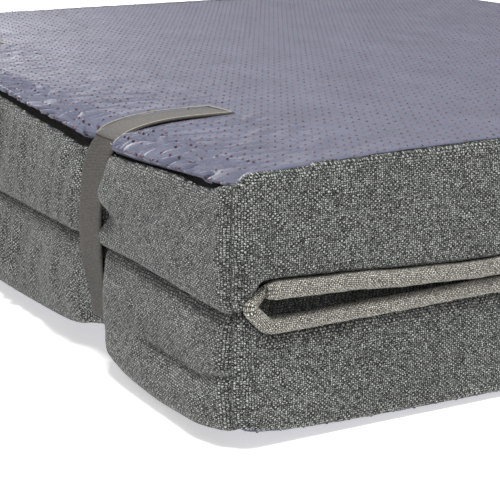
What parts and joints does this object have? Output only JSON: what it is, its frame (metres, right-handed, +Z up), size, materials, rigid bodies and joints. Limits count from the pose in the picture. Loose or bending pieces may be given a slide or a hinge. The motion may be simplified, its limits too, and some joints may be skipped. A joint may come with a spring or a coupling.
{
  "type": "folding kneeling pad",
  "caption": "Foam kneeling pad in two cloth-covered halves that fold shut on a cloth hinge, with non-slip outer faces, zips, piping and hook-tape straps.",
  "frame": {"origin": "middle of the lower half's base face, which the pad rests on", "axes": "+Z up, through the folded pad's thickness; Y along the hinge; -X is the hinge side, +X the free side that opens"},
  "size_m": [0.3785, 0.454, 0.09],
  "materials": {
    "grey_cloth": "plain-weave upholstery cloth, grey melange, matt",
    "dotted_fabric": "blue-grey woven non-slip fabric with small raised dark red dots, faint sheen",
    "piping_cloth": "fine plain-weave piping cloth, light grey-beige, matt",
    "foam": "open-cell polyurethane foam, matt",
    "strap_webbing": "ribbed woven webbing, taupe",
    "hook_tape": "hook-and-loop tape, taupe, matt",
    "zip_tape": "woven zip tape, black",
    "zip_coil": "moulded nylon coil, black",
    "zip_metal": "black painted zinc, satin"
  },
  "bodies": {
    "lower_half": {"lower_foam_core": "foam", "lower_base_panel": "dotted_fabric", "lower_knee_panel": "grey_cloth", "lower_hinge_wall": "grey_cloth", "lower_near_wall": "grey_cloth", "lower_far_wall": "grey_cloth", "lower_free_wall": "grey_cloth", "lower_piping": "piping_cloth", "lower_hinge_web": "grey_cloth", "lower_zip_tape_base": "zip_tape", "lower_zip_tape_wall": "zip_tape", "lower_zip_coil": "zip_coil", "lower_zip_top_stop": "zip_metal", "lower_zip_bottom_stop": "zip_metal", "near_strap_lower": "strap_webbing", "far_strap_lower": "strap_webbing"},
    "upper_half": {"upper_foam_core": "foam", "upper_base_panel": "dotted_fabric", "upper_knee_panel": "grey_cloth", "upper_hinge_wall": "grey_cloth", "upper_near_wall": "grey_cloth", "upper_far_wall": "grey_cloth", "upper_free_wall": "grey_cloth", "upper_piping": "piping_cloth", "upper_hinge_web": "grey_cloth", "upper_zip_tape_base": "zip_tape", "upper_zip_tape_wall": "zip_tape", "upper_zip_coil": "zip_coil", "upper_zip_top_stop": "zip_metal", "upper_zip_bottom_stop": "zip_metal", "near_strap_upper": "strap_webbing", "near_loop_patch": "hook_tape", "far_strap_upper": "strap_webbing", "far_loop_patch": "hook_tape"},
    "lower_zip_slider": {"lower_zip_slider": "zip_metal"},
    "lower_zip_puller": {"lower_zip_puller": "zip_metal"},
    "upper_zip_slider": {"upper_zip_slider": "zip_metal"},
    "upper_zip_puller": {"upper_zip_puller": "zip_metal"},
    "near_strap_tail": {"near_strap_tail": "hook_tape"},
    "far_strap_tail": {"far_strap_tail": "hook_tape"}
  },
  "joints": [
    {"name": "fold_hinge", "type": "hinge", "parent": "lower_half", "child": "upper_half", "pos_m": [-0.191, 0, 0.045], "axis": [0, -1, 0], "range_deg": [0, 180]},
    {"name": "lower_zip_slide", "type": "slide", "parent": "lower_half", "child": "lower_zip_slider", "axis": [0, -1, 0], "range_m": [0, 0.4]},
    {"name": "lower_puller_flip", "type": "hinge", "parent": "lower_zip_slider", "child": "lower_zip_puller", "pos_m": [-0.1868, 0.2, 0.0065], "axis": [0, 0, -1], "range_deg": [0, 180]},
    {"name": "upper_zip_slide", "type": "slide", "parent": "upper_half", "child": "upper_zip_slider", "axis": [0, -1, 0], "range_m": [0, 0.4]},
    {"name": "upper_puller_flip", "type": "hinge", "parent": "upper_zip_slider", "child": "upper_zip_puller", "pos_m": [-0.1868, 0.2, 0.0835], "axis": [0, 0, -1], "range_deg": [0, 180]},
    {"name": "near_tail_peel", "type": "hinge", "parent": "upper_half", "child": "near_strap_tail", "pos_m": [-0.1822, -0.119, 0.0898], "axis": [0, -1, 0], "range_deg": [0, 150]},
    {"name": "far_tail_peel", "type": "hinge", "parent": "upper_half", "child": "far_strap_tail", "pos_m": [-0.1822, 0.119, 0.0898], "axis": [0, -1, 0], "range_deg": [0, 150]}
  ]
}
